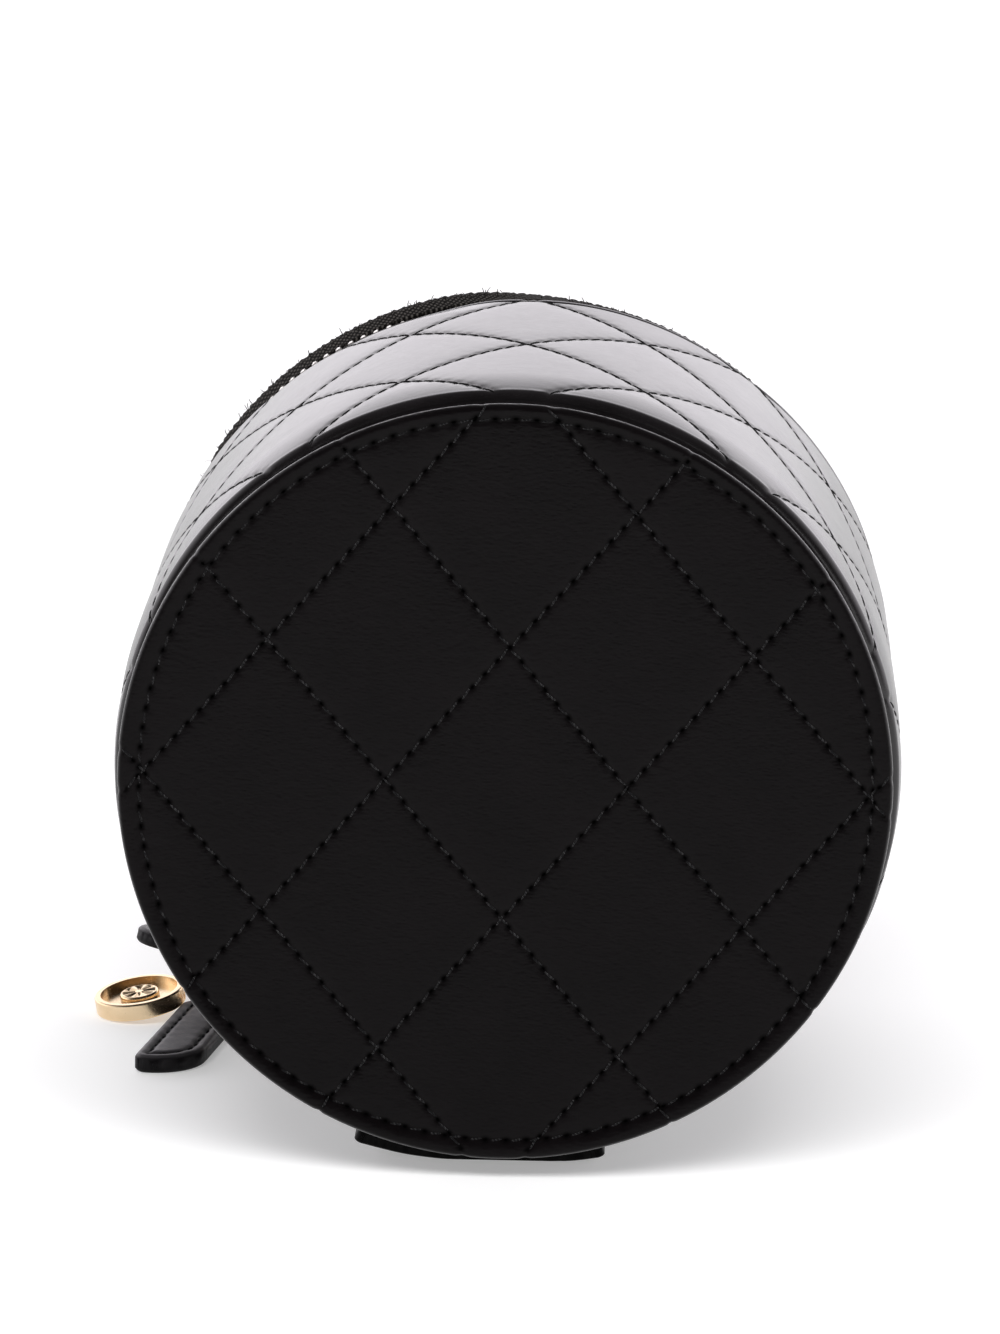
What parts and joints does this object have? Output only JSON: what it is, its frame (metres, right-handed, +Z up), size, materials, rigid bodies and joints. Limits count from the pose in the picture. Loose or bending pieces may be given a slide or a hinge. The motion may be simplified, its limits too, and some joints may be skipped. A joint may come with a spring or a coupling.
{
  "type": "leather jewellery case",
  "caption": "Round quilted-leather jewellery case lying on its back, with a zip-around hinged lid, ring rolls inside, and a zip pull with a stitched leather tab and a round metal charm.",
  "frame": {"origin": "on the flat underside of the hinge strap, which the case rests on, straight below the case axis and 45 mm from the base's outer face", "axes": "+Y along the case axis from the quilted base towards the lid; +Z up from the rest face; +X to the right when looking at the base"},
  "size_m": [0.1187, 0.1, 0.112],
  "materials": {
    "quilted_leather": "smooth black leather, quilted in diamonds, soft gloss",
    "strap_leather": "smooth black leather with painted edges",
    "board": "pressed fibre board",
    "lining": "black suede lining",
    "velvet": "black velvet",
    "zip_tape": "black woven tape",
    "gold_metal": "polished pale gold plating",
    "mirror": "silvered glass"
  },
  "bodies": {
    "body": {"base_panel": "quilted_leather", "base_welt": "strap_leather", "base_board": "board", "base_lining": "lining", "wall_shell": "board", "wall_leather": "quilted_leather", "wall_lining": "lining", "divider_left": "lining", "divider_right": "lining", "ring_roll_1": "velvet", "ring_roll_2": "velvet", "ring_roll_3": "velvet", "ring_roll_4": "velvet", "ring_roll_5": "velvet", "zip_tape_body": "zip_tape", "zip_teeth_body": "gold_metal", "zip_stop_left": "gold_metal", "zip_stop_right": "gold_metal", "hinge_strap_body": "strap_leather"},
    "lid": {"hinge_strap_lid": "strap_leather", "lid_wall": "quilted_leather", "lid_shell": "board", "lid_welt": "strap_leather", "lid_board": "board", "lid_panel": "quilted_leather", "lid_ceiling": "lining", "lid_lining": "lining", "lid_mirror": "mirror", "mirror_frame": "lining", "zip_tape_lid": "zip_tape", "zip_teeth_lid": "gold_metal"},
    "slider": {"slider_body": "gold_metal", "slider_bridge": "gold_metal"},
    "puller": {"puller_link": "gold_metal", "puller_tab": "strap_leather", "pull_ring": "gold_metal", "ring_rivet": "gold_metal"},
    "charm": {"charm": "gold_metal", "charm_boss": "gold_metal"},
    "tab": {"pull_tab": "strap_leather", "tab_clip": "gold_metal"}
  },
  "joints": [
    {"name": "lid_hinge", "type": "hinge", "parent": "body", "child": "lid", "pos_m": [0, 0.0385, 0.0009], "axis": [-1, 0, 0], "range_deg": [0, 105]},
    {"name": "zip_travel", "type": "hinge", "parent": "body", "child": "slider", "pos_m": [0, 0, 0.057], "axis": [0, -1, 0], "range_deg": [-305, 0]},
    {"name": "puller_swing", "type": "hinge", "parent": "slider", "child": "puller", "pos_m": [-0.02681, 0.0385, 0.00658], "axis": [0, 1, 0], "range_deg": [-90, 13]},
    {"name": "charm_swing", "type": "hinge", "parent": "puller", "child": "charm", "pos_m": [-0.044, 0.045, 0.004], "axis": [0, 0, 1], "range_deg": [-80, 0]},
    {"name": "tab_swing", "type": "hinge", "parent": "puller", "child": "tab", "pos_m": [-0.044, 0.045, 0.004], "axis": [0, 0, 1], "range_deg": [0, 25]}
  ]
}
